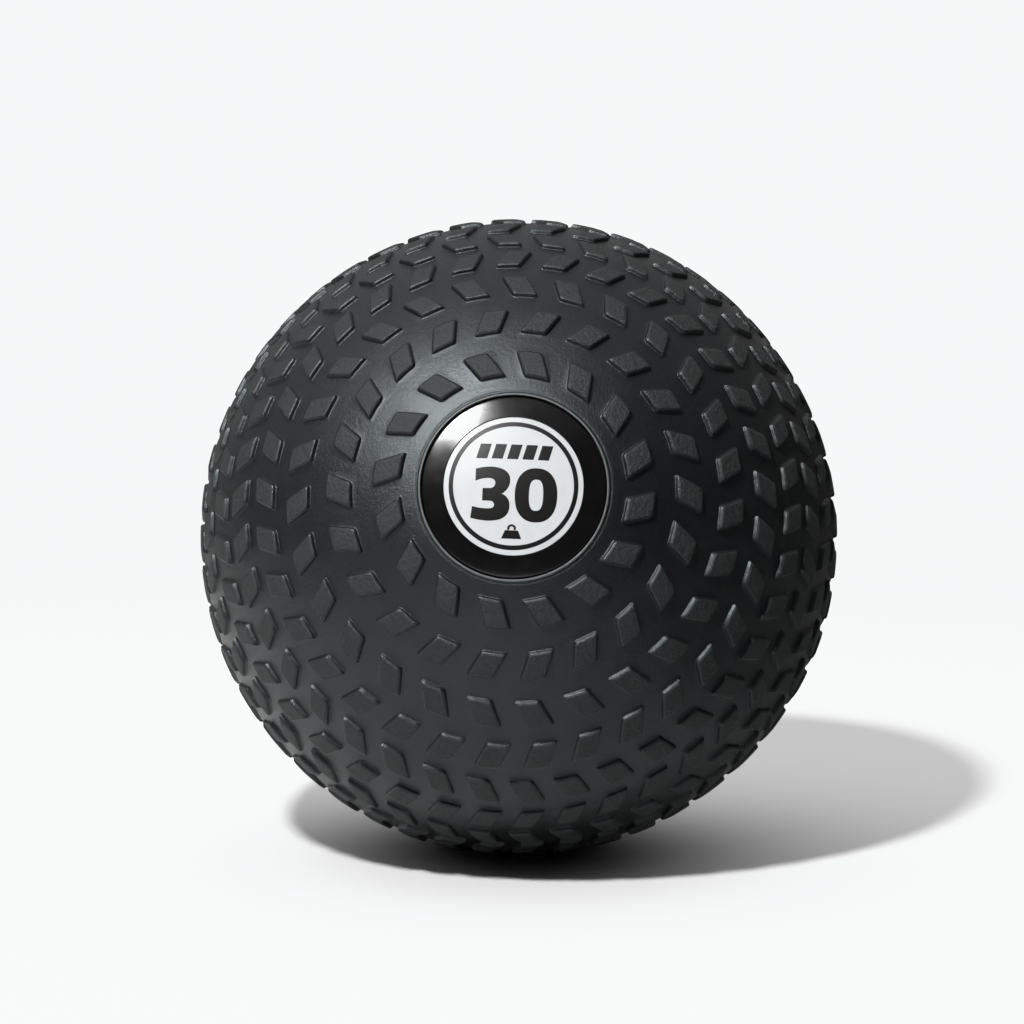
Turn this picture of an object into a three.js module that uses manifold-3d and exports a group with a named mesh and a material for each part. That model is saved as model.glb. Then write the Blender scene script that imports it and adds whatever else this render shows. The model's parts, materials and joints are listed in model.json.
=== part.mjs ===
// Tread slam ball: a 280 mm medicine ball holding 30 lb of sand.
//
// Two moulded rubber cups are bonded in a lap joint around the ball's equator. The front cup's pole
// carries a round badge in a recess, over the plugged hole that the sand is poured in through. The
// rear cup's pole carries an air valve. Sand fills about three quarters of the inside.
//
// Lengths are in millimetres and angles in degrees. The origin is the middle of the small flat patch
// that the ball rests on, and +Z is up. The badge faces -Y and looks upwards a little.
import * as THREE from 'three';
import { mergeVertices } from 'three/addons/utils/BufferGeometryUtils.js';
import Module from 'manifold-3d';

const wasm = await Module();
wasm.setup();

// ---- Driving dimensions: the ball ----
const BALL_RADIUS = 140; // to the tops of the lugs
const LUG_HEIGHT = 1.8;
const WALL = 9.2; // the shell between its lugs
const PRESSED = 2.7; // how much the ball's weight flattens it at the floor
const BADGE_TILT = 14.6; // the badge's axis, above horizontal
const BADGE_ROLL = 2.2; // the badge's 12 o'clock, turned clockwise from upright
const GAP = 0.3; // between pieces that touch on the real ball

// ---- Driving dimensions: the tread ----
// Lugs stand in rows around the badge's axis, and each is a parallelogram with two slanted sides.
// Its size is in degrees of arc on the ball. A row has 'edge', the angle from the axis to its near
// edge, 'lugs', how many it has, and 'first', the clockwise angle of the first from 12 o'clock.
const LUG_LENGTH = 5.1; // along a meridian
const LUG_WIDTH = 4.4; // along the row
const LUG_SLANT = 2.1; // how far the far edge is shifted along the row
const LUG_DRAFT = 0.2; // how far each side leans in on its way up
const TREAD_ROWS = [
  { edge: 18.9, lugs: 16, first: 6.5 },
  { edge: 27.9, lugs: 22, first: 6.5 },
  { edge: 36.7, lugs: 27, first: 12.3 },
  { edge: 45.1, lugs: 33, first: 8.2 },
  { edge: 53.1, lugs: 38, first: 4.6 },
  { edge: 61.0, lugs: 42, first: 3.8 },
  { edge: 69.0, lugs: 44, first: 4.2 },
  { edge: 76.5, lugs: 48, first: 3.2 },
  { edge: 83.8, lugs: 48, first: 3.2 },
];

// The sand's weight stretches the tread downwards: each of its points slides along the ball, most
// of all where it is SAG_MIDDLE from the ball's top, and less to either side of that.
const SAG_ANGLE = 3.6;
const SAG_MIDDLE = 143;
const SAG_SPREAD = 17;

// ---- Driving dimensions: the pieces at the poles, the joint and the fill ----
const BADGE_RADIUS = 36.6; // the glossy disc
const BADGE_THICKNESS = 2.4;
const BADGE_SUNK = 0.5; // its face, below the rubber around it
const BADGE_CLEARANCE = 0.35; // the dark gap around it
const LABEL_RADIUS = 27.7; // the white label let into the disc
const LABEL_THICKNESS = 0.6;
const PAD_RADIUS = 33; // the adhesive pad behind the disc
const PAD_THICKNESS = 0.7;
const LIP_HEIGHT = 0.65; // the raised lip around each pole's round field
const LIP_CHAMFER = 0.3; // its sloping inside
const LIP_CREST = 0.5; // its flat top
const LIP_FLANK = 0.5; // its sloping outside
const PLUG_RADIUS = 11.7; // the fill hole's stopper
const PLUG_HEAD_RADIUS = 16.7;
const PLUG_HEAD = 1.4; // thickness of its head
const VALVE_RADIUS = 4.7;
const VALVE_HEAD_RADIUS = 8;
const VALVE_HEAD = 1; // thickness at the rim of its head
const NEEDLE_RADIUS = 0.9; // the hole that a pump's needle goes in
const NEEDLE_DEPTH = 6;
const TONGUE_DEPTH = 6; // the lap joint's overlap
const SAND_RADIUS = 127.2;
const SAND_LEVEL = 48; // its free surface, above the ball's centre

// ---- Worked out from those ----
const SKIN_RADIUS = BALL_RADIUS - LUG_HEIGHT;
const CAVITY_RADIUS = SKIN_RADIUS - WALL;
const CENTRE_HEIGHT = BALL_RADIUS - PRESSED;
const FIELD_RADIUS = BADGE_RADIUS + BADGE_CLEARANCE; // the round field inside each lip
const BADGE_FACE = SKIN_RADIUS - BADGE_SUNK; // radius of the badge's domed face
const BADGE_BACK = BADGE_FACE - BADGE_THICKNESS;
const PAD_FACE = BADGE_BACK - GAP;
const PAD_BACK = PAD_FACE - PAD_THICKNESS;
const RECESS_FLOOR = PAD_BACK - GAP;
const LAP_RADIUS = (SKIN_RADIUS + CAVITY_RADIUS) / 2;

const SIDES = 36; // of each round outline
const DOME_STEPS = 3; // of each domed face, from its middle to its rim
const CAVITY_RINGS = 7; // from the equator to the pole

const radians = THREE.MathUtils.degToRad;

// Height of a sphere's surface over the equator, at a distance from the axis.
function domeHeight(sphereRadius, axisDistance) {
  return Math.sqrt(sphereRadius ** 2 - axisDistance ** 2);
}

// A profile point [distance from the axis, height], on a sphere of the given radius.
function onDome(sphereRadius, axisDistance) {
  return [axisDistance, domeHeight(sphereRadius, axisDistance)];
}

// ---- A surface made of rings around the badge's axis ----
// A ring's points run clockwise as seen from outside the badge, and each knows its clock angle.
class RingSkin {
  positions = [];
  triangles = [];

  addPoint(clock, axisDistance, height) {
    const angle = radians(clock);
    this.positions.push(axisDistance * Math.sin(angle), axisDistance * Math.cos(angle), height);
    return { clock, index: this.positions.length / 3 - 1 };
  }

  // A flat face with its corners counter-clockwise as seen from outside.
  addFace(...corners) {
    for (let i = 2; i < corners.length; i += 1) {
      this.triangles.push(corners[0].index, corners[i - 1].index, corners[i].index);
    }
  }

  addCircle([axisDistance, height]) {
    const ring = [];
    for (let i = 0; i < SIDES; i += 1) {
      ring.push(this.addPoint((360 * i) / SIDES, axisDistance, height));
    }
    return ring;
  }

  // Joins two neighbouring rings with triangles, however many points each has.
  zip(near, far) {
    const pointAt = (ring, i) => {
      const lap = Math.floor(i / ring.length);
      const point = ring[i - lap * ring.length];
      return { index: point.index, clock: point.clock + 360 * lap };
    };
    let first = -far.length;
    while (pointAt(far, first + 1).clock <= near[0].clock) {
      first += 1;
    }
    let nearSteps = 0;
    let farSteps = 0;
    while (nearSteps < near.length || farSteps < far.length) {
      const nearHere = pointAt(near, nearSteps);
      const nearNext = pointAt(near, nearSteps + 1);
      const farHere = pointAt(far, first + farSteps);
      const farNext = pointAt(far, first + farSteps + 1);
      const nearIsNext = nearNext.clock < farNext.clock && nearSteps < near.length;
      if (nearIsNext || farSteps === far.length) {
        this.addFace(nearHere, nearNext, farHere);
        nearSteps += 1;
      } else {
        this.addFace(nearHere, farNext, farHere);
        farSteps += 1;
      }
    }
  }

  toGeometry() {
    const geometry = new THREE.BufferGeometry();
    geometry.setAttribute('position', new THREE.Float32BufferAttribute(this.positions, 3));
    geometry.setIndex(this.triangles);
    return geometry;
  }
}

// The four corners of a lug's outline at one height: near left, near right, far right, far left.
function addLugOutline(skin, sphereRadius, row, middle, slant, inset) {
  const halfLength = LUG_LENGTH / 2;
  const halfWidth = LUG_WIDTH / 2;
  const corner = (along, side) => {
    const polar = radians(row.edge + halfLength + along * (halfLength - inset));
    const shift = (slant / 2) * along * (1 - inset / halfLength) + side * (halfWidth - inset);
    const clock = middle + shift / Math.sin(polar);
    return skin.addPoint(clock, sphereRadius * Math.sin(polar), sphereRadius * Math.cos(polar));
  };
  return [corner(-1, -1), corner(-1, 1), corner(1, 1), corner(1, -1)];
}

// One row of lugs and the rubber between them. Returns its two edges as rings.
function addTreadRow(skin, row, slant) {
  const bases = [];
  for (let i = 0; i < row.lugs; i += 1) {
    const middle = row.first + (360 * i) / row.lugs;
    const base = addLugOutline(skin, SKIN_RADIUS, row, middle, slant, 0);
    const top = addLugOutline(skin, BALL_RADIUS, row, middle, slant, LUG_DRAFT);
    for (let side = 0; side < 4; side += 1) {
      const next = (side + 1) % 4;
      skin.addFace(base[side], base[next], top[next], top[side]);
    }
    skin.addFace(...top);
    bases.push(base);
  }
  bases.forEach((base, i) => {
    const next = bases[(i + 1) % bases.length];
    skin.addFace(base[1], next[0], next[3], base[2]);
  });
  return {
    near: bases.flatMap((base) => [base[0], base[1]]),
    far: bases.flatMap((base) => [base[3], base[2]]),
  };
}

// A cup with a hole through its pole, opening towards -Z. The pole's profile runs out to the first
// tread row, and the rim's profile runs from the outer edge at the equator to the inner one.
function makeCup(poleProfile, rimProfile) {
  const skin = new RingSkin();
  const strips = [];
  const addCircle = (point) => {
    const ring = skin.addCircle(point);
    strips.push({ near: ring, far: ring });
  };
  poleProfile.forEach(addCircle);
  TREAD_ROWS.forEach((row, i) => {
    strips.push(addTreadRow(skin, row, i % 2 === 0 ? -LUG_SLANT : LUG_SLANT));
  });
  rimProfile.forEach(addCircle);
  for (let i = 1; i < CAVITY_RINGS; i += 1) {
    const polar = radians(90 - (90 * i) / CAVITY_RINGS);
    addCircle([CAVITY_RADIUS * Math.sin(polar), CAVITY_RADIUS * Math.cos(polar)]);
  }
  strips.forEach((strip, i) => skin.zip(strip.far, strips[(i + 1) % strips.length].near));
  return skin.toGeometry();
}

// The raised lip that frames each pole's round field, from the inside out.
function lipProfile() {
  const crestRadius = SKIN_RADIUS + LIP_HEIGHT;
  const crest = FIELD_RADIUS + LIP_CHAMFER;
  return [
    onDome(crestRadius, crest),
    onDome(crestRadius, crest + LIP_CREST),
    onDome(SKIN_RADIUS, crest + LIP_CREST + LIP_FLANK),
  ];
}

// ---- Solids ----
// A solid of revolution about Z. Its profile of [radius, height] points runs up from the axis.
function turned(profile) {
  const points = profile.map(([x, y]) => new THREE.Vector2(x, y));
  return new THREE.LatheGeometry(points, SIDES).rotateX(Math.PI / 2);
}

// Profile points along a dome, from one distance off the axis to another.
function domeArc(sphereRadius, from, to) {
  const points = [];
  for (let i = 0; i <= DOME_STEPS; i += 1) {
    points.push(onDome(sphereRadius, from + ((to - from) * i) / DOME_STEPS));
  }
  return points;
}

function mirroredThroughEquator(geometry) {
  const mirrored = geometry.clone().scale(1, 1, -1);
  const index = mirrored.getIndex();
  for (let i = 0; i < index.count; i += 3) {
    const second = index.getX(i + 1);
    index.setX(i + 1, index.getX(i + 2));
    index.setX(i + 2, second);
  }
  return mirrored;
}

function toManifold(geometry) {
  const bare = geometry.clone();
  bare.deleteAttribute('normal');
  bare.deleteAttribute('uv');
  const merged = mergeVertices(bare);
  const vertProperties = new Float32Array(merged.getAttribute('position').array);
  const triVerts = new Uint32Array(merged.getIndex().array);
  return new wasm.Manifold(new wasm.Mesh({ numProp: 3, vertProperties, triVerts }));
}

function toGeometry(solid) {
  const mesh = solid.getMesh();
  const geometry = new THREE.BufferGeometry();
  geometry.setAttribute('position', new THREE.BufferAttribute(mesh.vertProperties, 3));
  geometry.setIndex(new THREE.BufferAttribute(mesh.triVerts, 1));
  return geometry;
}

// ---- The ball's own frame: centre at the origin, +Z out through the badge, +Y its 12 o'clock ----
const ballTurn = new THREE.Euler(radians(90 - BADGE_TILT), 0, radians(-BADGE_ROLL));

// A cup with the skin outside its lap joint stretched downwards by the sand.
function sagged(cup) {
  const toUpright = new THREE.Matrix4().makeRotationFromEuler(ballTurn);
  const upright = cup.clone().applyMatrix4(toUpright);
  const position = upright.getAttribute('position');
  const up = new THREE.Vector3(0, 0, 1);
  const point = new THREE.Vector3();
  const sideways = new THREE.Vector3();
  for (let i = 0; i < position.count; i += 1) {
    point.fromBufferAttribute(position, i);
    const fromTop = point.angleTo(up);
    const steps = (THREE.MathUtils.radToDeg(fromTop) - SAG_MIDDLE) / SAG_SPREAD;
    const sag = radians(SAG_ANGLE) * Math.exp(-(steps ** 2)) * Math.sqrt(Math.sin(fromTop));
    if (point.length() > LAP_RADIUS + GAP) {
      point.applyAxisAngle(sideways.crossVectors(up, point).normalize(), sag);
      position.setXYZ(i, point.x, point.y, point.z);
    }
  }
  return upright.applyMatrix4(toUpright.invert());
}

// Front cup: the fill hole, the badge's recess over it, the tread, and the lap joint's tongue.
function makeFrontShell() {
  const hole = PLUG_RADIUS + GAP;
  const counterbore = PLUG_HEAD_RADIUS + GAP;
  const shelf = domeHeight(RECESS_FLOOR, counterbore) - PLUG_HEAD - 2 * GAP;
  const tongue = LAP_RADIUS - GAP / 2;
  const pole = [
    onDome(CAVITY_RADIUS, hole),
    [hole, shelf],
    [counterbore, shelf],
    onDome(RECESS_FLOOR, counterbore),
    onDome(RECESS_FLOOR, FIELD_RADIUS),
    ...lipProfile(),
  ];
  const rim = [
    [SKIN_RADIUS, GAP / 2],
    [tongue, GAP / 2],
    [tongue, -TONGUE_DEPTH],
    [CAVITY_RADIUS, -TONGUE_DEPTH],
    [CAVITY_RADIUS, 0],
  ];
  return sagged(makeCup(pole, rim));
}

// Rear cup: the valve's hole in a smooth field, the tread, the lap joint's groove, and the patch
// that the ball's weight presses flat.
function makeRearShell() {
  const hole = VALVE_RADIUS + GAP;
  const counterbore = VALVE_HEAD_RADIUS + GAP;
  const shelf = domeHeight(BADGE_FACE, counterbore) - VALVE_HEAD - GAP;
  const groove = LAP_RADIUS + GAP / 2;
  const grooveFloor = TONGUE_DEPTH + GAP;
  const pole = [
    onDome(CAVITY_RADIUS, hole),
    [hole, shelf],
    [counterbore, shelf],
    onDome(BADGE_FACE, counterbore),
    onDome(BADGE_FACE, (counterbore + FIELD_RADIUS) / 2),
    onDome(BADGE_FACE, FIELD_RADIUS),
    ...lipProfile(),
  ];
  const rim = [
    [SKIN_RADIUS, GAP / 2],
    [groove, GAP / 2],
    [groove, grooveFloor],
    [domeHeight(CAVITY_RADIUS, grooveFloor), grooveFloor],
  ];
  const cup = sagged(mirroredThroughEquator(makeCup(pole, rim)));
  const toBallFrame = new THREE.Matrix4().makeRotationFromEuler(ballTurn).invert();
  const depth = 4 * PRESSED;
  const floor = new THREE.BoxGeometry(BALL_RADIUS, BALL_RADIUS, depth);
  floor.translate(0, 0, -CENTRE_HEIGHT - depth / 2).applyMatrix4(toBallFrame);
  return toGeometry(toManifold(cup).subtract(toManifold(floor)));
}

// Glossy domed disc in the recess, with a shallow pocket for the label.
function makeBadgeDisc() {
  const pocket = LABEL_RADIUS + GAP;
  const pocketFloor = BADGE_FACE - LABEL_THICKNESS - GAP;
  return turned([
    ...domeArc(BADGE_BACK, 0, BADGE_RADIUS),
    onDome(BADGE_FACE, BADGE_RADIUS),
    onDome(BADGE_FACE, pocket),
    ...domeArc(pocketFloor, pocket, 0),
  ]);
}

// White label, flush with the disc's face.
function makeBadgeLabel() {
  return turned([
    ...domeArc(BADGE_FACE - LABEL_THICKNESS, 0, LABEL_RADIUS),
    ...domeArc(BADGE_FACE, LABEL_RADIUS, 0),
  ]);
}

// Foam tape that holds the disc on the recess's floor.
function makeBadgePad() {
  return turned([...domeArc(PAD_BACK, 0, PAD_RADIUS), ...domeArc(PAD_FACE, PAD_RADIUS, 0)]);
}

// Stopper in the fill hole, with a flat head that lies under the pad.
function makeFillPlug() {
  const headTop = domeHeight(RECESS_FLOOR, PLUG_HEAD_RADIUS + GAP) - GAP;
  const headBottom = headTop - PLUG_HEAD;
  return turned([
    [0, CAVITY_RADIUS],
    [PLUG_RADIUS, CAVITY_RADIUS],
    [PLUG_RADIUS, headBottom],
    [PLUG_HEAD_RADIUS, headBottom],
    [PLUG_HEAD_RADIUS, headTop],
    [0, headTop],
  ]);
}

// Needle valve at the rear pole, with its head flush in the smooth field.
function makeValve() {
  const headTop = domeHeight(BADGE_FACE, VALVE_HEAD_RADIUS + GAP);
  const headBottom = headTop - VALVE_HEAD;
  const mouth = 2 * NEEDLE_RADIUS; // the hole's countersunk mouth
  const valve = turned([
    [0, CAVITY_RADIUS],
    [VALVE_RADIUS, CAVITY_RADIUS],
    [VALVE_RADIUS, headBottom],
    [VALVE_HEAD_RADIUS, headBottom],
    [VALVE_HEAD_RADIUS, headTop],
    [mouth, headTop + GAP],
    [NEEDLE_RADIUS, headTop - NEEDLE_RADIUS],
    [NEEDLE_RADIUS, headTop - NEEDLE_DEPTH],
    [0, headTop - NEEDLE_DEPTH],
  ]);
  return valve.rotateX(Math.PI);
}

// Sand, in the ball's upright frame: most of a sphere, with a level top.
function makeSand() {
  const steps = 12;
  const top = Math.asin(SAND_LEVEL / SAND_RADIUS);
  const profile = [];
  for (let i = 0; i <= steps; i += 1) {
    const latitude = -Math.PI / 2 + ((top + Math.PI / 2) * i) / steps;
    profile.push([SAND_RADIUS * Math.cos(latitude), SAND_RADIUS * Math.sin(latitude)]);
  }
  return turned([...profile, [0, SAND_LEVEL]]);
}

// ---- Materials ----
function material(color, roughness, metalness = 0) {
  return new THREE.MeshStandardMaterial({ color, roughness, metalness });
}

const rubber = material(0x2f3235, 0.62);
const glossBlack = material(0x0b0b0c, 0.1);
const printedWhite = material(0xe9ecec, 0.25);
const foam = material(0x3a3a38, 0.9);
const butyl = material(0x1b1c1d, 0.5);
const sand = material(0xa88f66, 1);

function piece(name, geometry, finish) {
  const mesh = new THREE.Mesh(geometry, finish);
  mesh.name = name;
  return mesh;
}

// ---- Assembly ----
const turnedPieces = new THREE.Group();
turnedPieces.rotation.copy(ballTurn);
turnedPieces.add(
  piece('front_shell', makeFrontShell(), rubber),
  piece('rear_shell', makeRearShell(), rubber),
  piece('badge_disc', makeBadgeDisc(), glossBlack),
  piece('badge_label', makeBadgeLabel(), printedWhite),
  piece('badge_pad', makeBadgePad(), foam),
  piece('fill_plug', makeFillPlug(), butyl),
  piece('valve_body', makeValve(), butyl),
);

const ball = new THREE.Group();
ball.position.z = CENTRE_HEIGHT;
ball.add(turnedPieces, piece('sand_fill', makeSand(), sand));

export default ball;
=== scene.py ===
"""Looks of the tread slam ball: fine rubber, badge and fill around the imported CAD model.

Shapes are worked out in the ball's own frame, in millimetres: the origin is the ball's centre, +Z runs
out through the badge and +Y is the badge's 12 o'clock. to_row() then turns them into the row's frame.
Angles are in degrees. A point's polar angle is measured from the badge's axis, and its clock angle
clockwise from 12 o'clock as seen from outside the badge.
"""

import json
import math

import bmesh
import bpy
import numpy as np
from mathutils import Matrix, Vector


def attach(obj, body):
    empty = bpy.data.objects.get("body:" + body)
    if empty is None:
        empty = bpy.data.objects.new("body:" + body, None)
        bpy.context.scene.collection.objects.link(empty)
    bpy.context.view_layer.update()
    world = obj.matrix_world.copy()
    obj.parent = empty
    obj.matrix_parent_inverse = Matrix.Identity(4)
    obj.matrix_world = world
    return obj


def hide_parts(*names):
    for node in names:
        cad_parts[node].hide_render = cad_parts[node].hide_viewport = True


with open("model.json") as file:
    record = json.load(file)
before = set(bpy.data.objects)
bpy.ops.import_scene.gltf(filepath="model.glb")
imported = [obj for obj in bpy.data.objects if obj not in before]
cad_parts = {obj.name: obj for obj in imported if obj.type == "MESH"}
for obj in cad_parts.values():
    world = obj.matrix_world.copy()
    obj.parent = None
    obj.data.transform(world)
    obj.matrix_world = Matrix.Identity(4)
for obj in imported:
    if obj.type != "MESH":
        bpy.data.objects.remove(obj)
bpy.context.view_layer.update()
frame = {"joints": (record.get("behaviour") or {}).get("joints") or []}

# ---- The ball, as in the CAD model ----
MM = 0.001
BALL_RADIUS = 140.0  # to the tops of the lugs
LUG_HEIGHT = 1.8
WALL = 9.2  # the shell's thickness between its lugs
BADGE_TILT = 14.6  # the badge's axis, above horizontal
BADGE_ROLL = 2.2  # the badge's 12 o'clock, turned clockwise from upright
GAP = 0.3  # between pieces that touch on the real ball
SKIN_RADIUS = BALL_RADIUS - LUG_HEIGHT
CAVITY_RADIUS = SKIN_RADIUS - WALL
LAP_RADIUS = (SKIN_RADIUS + CAVITY_RADIUS) / 2
TONGUE_DEPTH = 6.0  # the lap joint's overlap

# A lug is a parallelogram with two slanted sides, and its size is in degrees of arc on the ball.
LUG_LENGTH = 5.1  # along a meridian
LUG_WIDTH = 4.4  # along the row
LUG_SLANT = 2.1  # how far the far edge is shifted along the row
# Each row of lugs: its near edge, how many lugs it has, and the clock angle of the first.
TREAD_ROWS = [
    (18.9, 16, 6.5),
    (27.9, 22, 6.5),
    (36.7, 27, 12.3),
    (45.1, 33, 8.2),
    (53.1, 38, 4.6),
    (61.0, 42, 3.8),
    (69.0, 44, 4.2),
    (76.5, 48, 3.2),
    (83.8, 48, 3.2),
]
SAG_ANGLE = 3.6  # how far the sand's weight pulls the rubber down, at most
SAG_MIDDLE = 143.0  # the angle from straight up where that is
SAG_SPREAD = 17.0

BADGE_RADIUS = 36.6
BADGE_THICKNESS = 2.4
BADGE_SUNK = 0.5  # its face, below the rubber around it
BADGE_CLEARANCE = 0.35  # the dark gap around it
FIELD_RADIUS = BADGE_RADIUS + BADGE_CLEARANCE  # the round field inside each lip
BADGE_FACE = SKIN_RADIUS - BADGE_SUNK
BADGE_BACK = BADGE_FACE - BADGE_THICKNESS
LABEL_RADIUS = 27.7
LABEL_THICKNESS = 0.6
PAD_RADIUS = 33.0
PAD_THICKNESS = 0.7
PAD_FACE = BADGE_BACK - GAP
PAD_BACK = PAD_FACE - PAD_THICKNESS
RECESS_FLOOR = PAD_BACK - GAP
PLUG_RADIUS = 11.7
PLUG_HEAD_RADIUS = 16.7
PLUG_HEAD = 1.4  # thickness of its head
VALVE_RADIUS = 4.7
VALVE_HEAD_RADIUS = 8.0
VALVE_HEAD = 1.0  # thickness at the rim of its head
NEEDLE_RADIUS = 0.9  # the hole that a pump's needle goes in
NEEDLE_DEPTH = 6.0
LIP_HEIGHT = 0.65  # the raised lip around each pole's round field
SAND_RADIUS = 127.2
SAND_LEVEL = 48.0  # its free surface, above the ball's centre

# ---- The fine surface ----
# A lug's side from its foot to its top, as [inset from its outline at the skin, height].
LUG_SIDE = [
    (-0.38, 0.00),
    (-0.14, 0.05),
    (0.02, 0.20),
    (0.10, 0.42),
    (0.32, 1.28),
    (0.48, 1.53),
    (0.78, 1.71),
    (1.20, 1.79),
]
LUG_TOP_INSET = 2.5  # a loop on the flat top
LUG_HEIGHT_SPREAD = 0.02  # how much lugs differ in height, as a share of it
CORNER_CUT = 0.95  # how far out a rounded plan corner reaches
SIDE_STEPS = np.array([-1.0, -0.78, -0.4, 0.0, 0.4, 0.78])  # along one side of a lug, to the next corner
CIRCLE_STEPS = 96  # of each plain ring of a cup
FINE_STEPS = 144  # of each turned piece
TREAD_START = 17.8  # the angle from the axis where the strip of the first row begins
ROW_BORDER = (0.44, 0.56)  # where two rows' strips end and begin, as shares of the gap between their lugs
LIP_RISE = -1.0  # what the attribute "rise" says on the lip's crest, which gets a painted highlight
LIP_CREST_FROM = 0.35  # the crest is what stands higher than this
CAVITY_RINGS = 14
CAVITY_ARC = 84.0  # from the equator towards the pole's hole
RUBBER_WAVE = 0.11  # how far the moulded rubber strays from a true sphere
WAVE_START = 0.30  # the waves begin this far off the axis, as a share of the radius
WAVE_FADE = 0.15  # and reach their full height over this much more
FLOOR_SOFTNESS = 0.6  # how gently the pressed patch begins
FLOOR_REACH = 4.0  # only points lower than this are pressed
MM_PER_DEGREE = math.radians(1) * BALL_RADIUS

centre = Vector(frame["joints"][0]["pos_m"])
turn = Matrix.Rotation(math.radians(90 - BADGE_TILT), 3, "X")
turn = turn @ Matrix.Rotation(math.radians(-BADGE_ROLL), 3, "Z")
BALL_TO_ROW = np.array(turn)


def to_row(points):
    """Points of the ball's own frame, in millimetres, as points of the row's frame, in metres."""
    return np.asarray(points) @ BALL_TO_ROW.T * MM + np.array(centre)


def dome_height(sphere, axis_distance):
    return math.sqrt(sphere**2 - axis_distance**2)


def on_dome(sphere, axis_distance):
    """A profile point [distance from the axis, height] on a sphere."""
    return (axis_distance, dome_height(sphere, axis_distance))


def dome_arc(sphere, start, end, steps):
    """Profile points along a dome, from one distance off the axis to another."""
    return [on_dome(sphere, start + (end - start) * i / steps) for i in range(steps + 1)]


def new_object(name, points, faces, body, replaced=()):
    """A mesh piece in the row's frame that rides on a body and stands for the replaced CAD nodes."""
    mesh = bpy.data.meshes.new(name)
    mesh.from_pydata([tuple(p) for p in points], [], faces)
    mesh.update()
    piece = bpy.data.objects.new(name, mesh)
    bpy.context.scene.collection.objects.link(piece)
    if body:
        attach(piece, body)
    if replaced:
        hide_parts(*replaced)
    return piece


def smooth(piece, sharp_angle):
    """Smooth shading, apart from the edges that bend more than the given angle."""
    mesh = piece.data
    mesh.polygons.foreach_set("use_smooth", [True] * len(mesh.polygons))
    mesh.set_sharp_from_angle(angle=math.radians(sharp_angle))


# ---- The rubber cups ----
class RingSkin:
    """A closed surface made of rings around the badge's axis, each with its points' clock angles."""

    def __init__(self):
        self.points = []
        self.rise = []
        self.faces = []

    def add(self, sphere, polar, clock, rise=0.0):
        """Adds points by sphere radius, polar and clock angle. Returns their numbers, shaped alike."""
        sphere, polar, clock = np.broadcast_arrays(sphere, polar, clock)
        theta, phi = np.radians(polar), np.radians(clock)
        xyz = np.stack(
            [np.sin(theta) * np.sin(phi), np.sin(theta) * np.cos(phi), np.cos(theta)], axis=-1
        )
        first = len(self.points)
        self.points.extend((xyz * sphere[..., None]).reshape(-1, 3).tolist())
        self.rise.extend([rise] * sphere.size)
        return np.arange(first, first + sphere.size).reshape(sphere.shape)

    def circle(self, profile_point, steps, rise=0.0):
        axis_distance, height = profile_point
        clock = 360.0 * np.arange(steps) / steps
        sphere = math.hypot(axis_distance, height)
        polar = math.degrees(math.atan2(axis_distance, height))
        return (clock, self.add(sphere, polar, clock, rise))

    def strip(self, outer, inner):
        """Four-sided faces between two closed loops, for each row of the two arrays."""
        faces = np.stack([outer, np.roll(outer, -1, 1), np.roll(inner, -1, 1), inner], axis=-1)
        self.faces.extend(faces.reshape(-1, 4).tolist())

    def fan(self, loop, middle):
        faces = np.stack(
            [loop, np.roll(loop, -1, 1), np.broadcast_to(middle[:, None], loop.shape)], axis=-1
        )
        self.faces.extend(faces.reshape(-1, 3).tolist())

    def zip(self, near, far):
        """Joins two neighbouring rings, however many points each has."""
        near_clock, near_index = near
        far_clock, far_index = far
        near_count, far_count = len(near_clock), len(far_clock)
        if near_count == far_count and np.allclose(near_clock, far_clock):
            self.strip(near_index[None], far_index[None])
            return

        def clock_at(clock, i):
            return clock[i % len(clock)] + 360.0 * (i // len(clock))

        first = -far_count
        while clock_at(far_clock, first + 1) <= near_clock[0]:
            first += 1
        near_steps = 0
        far_steps = 0
        while near_steps < near_count or far_steps < far_count:
            here = int(near_index[near_steps % near_count])
            there = int(far_index[(first + far_steps) % far_count])
            near_next = clock_at(near_clock, near_steps + 1)
            far_next = clock_at(far_clock, first + far_steps + 1)
            near_is_next = near_next < far_next and near_steps < near_count
            if near_is_next or far_steps == far_count:
                near_steps += 1
                self.faces.append([here, int(near_index[near_steps % near_count]), there])
            else:
                far_steps += 1
                beyond = int(far_index[(first + far_steps) % far_count])
                self.faces.append([here, beyond, there])


def loop_places():
    """Where a lug's loop has its points, as [side, along] from -1 to 1, counter-clockwise."""
    inner = SIDE_STEPS[1:]
    cut = CORNER_CUT
    places = [(-cut, -cut)]
    places += [(s, -1.0) for s in inner]
    places += [(cut, -cut)]
    places += [(1.0, a) for a in inner]
    places += [(cut, cut)]
    places += [(s, 1.0) for s in inner[::-1]]
    places += [(-cut, cut)]
    places += [(-1.0, a) for a in inner[::-1]]
    return np.array(places)


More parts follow.
